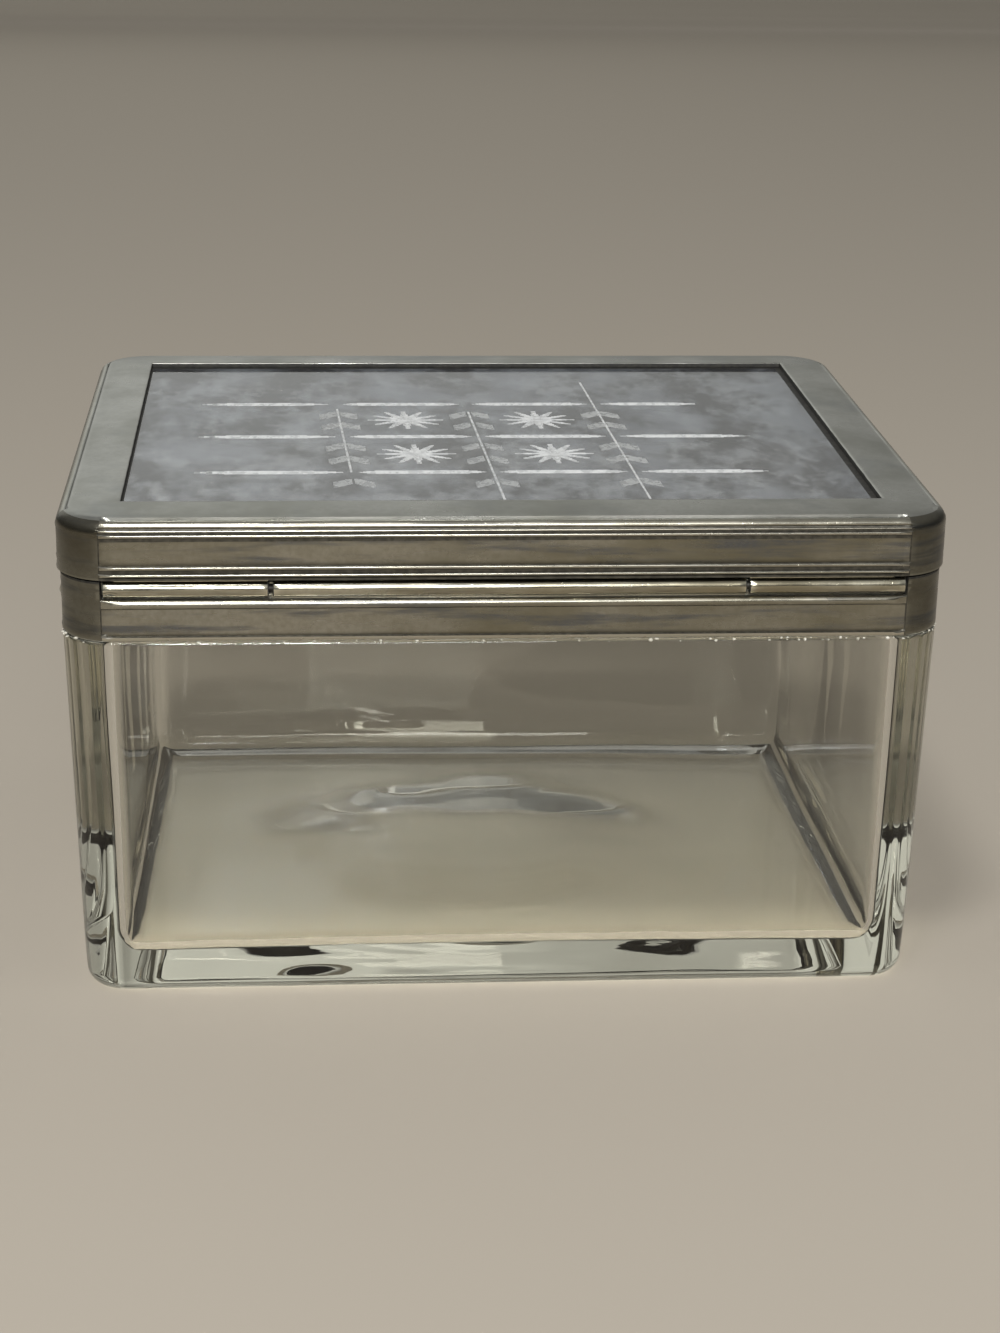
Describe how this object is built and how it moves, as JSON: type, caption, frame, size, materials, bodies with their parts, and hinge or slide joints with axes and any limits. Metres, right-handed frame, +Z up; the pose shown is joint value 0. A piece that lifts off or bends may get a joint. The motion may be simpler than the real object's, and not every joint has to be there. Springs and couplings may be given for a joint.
{
  "type": "glass casket box",
  "caption": "Low rectangular glass casket with a plated collar and a hinged lid that frames a flat pane cut with a lattice and stars.",
  "frame": {"origin": "centre of the foot, on the surface the casket stands on", "axes": "+X along the hinge, to the right as seen from the hinge side; +Y away from the hinge, towards the side that opens; +Z up"},
  "size_m": [0.1344, 0.111, 0.078],
  "materials": {
    "clear_glass": "thick polished clear glass, slightly uneven",
    "cut_pane": "flat polished plate with wheel-cut lattice and stars",
    "plated_metal": "aged plated metal, satin, worn bright on the ribs",
    "hinge_metal": "aged plated metal, rubbed bright on the barrel",
    "inner_metal": "dull metal inside lid and rim",
    "pin_steel": "dark drawn wire",
    "cement": "dry pale bedding"
  },
  "bodies": {
    "tray": {"glass_body": "clear_glass", "rim_cement": "cement", "collar_band": "plated_metal", "rim_ring": "inner_metal", "collar_knuckle": "hinge_metal", "hinge_pin": "pin_steel"},
    "lid": {"lid_frame": "plated_metal", "pane_bezel": "inner_metal", "lid_pane": "cut_pane", "lid_knuckle_left": "hinge_metal", "lid_knuckle_right": "hinge_metal"}
  },
  "joints": [
    {"name": "lid_hinge", "type": "hinge", "parent": "tray", "child": "lid", "pos_m": [0, -0.0542, 0.0669], "axis": [1, 0, 0], "range_deg": [0, 105]}
  ]
}
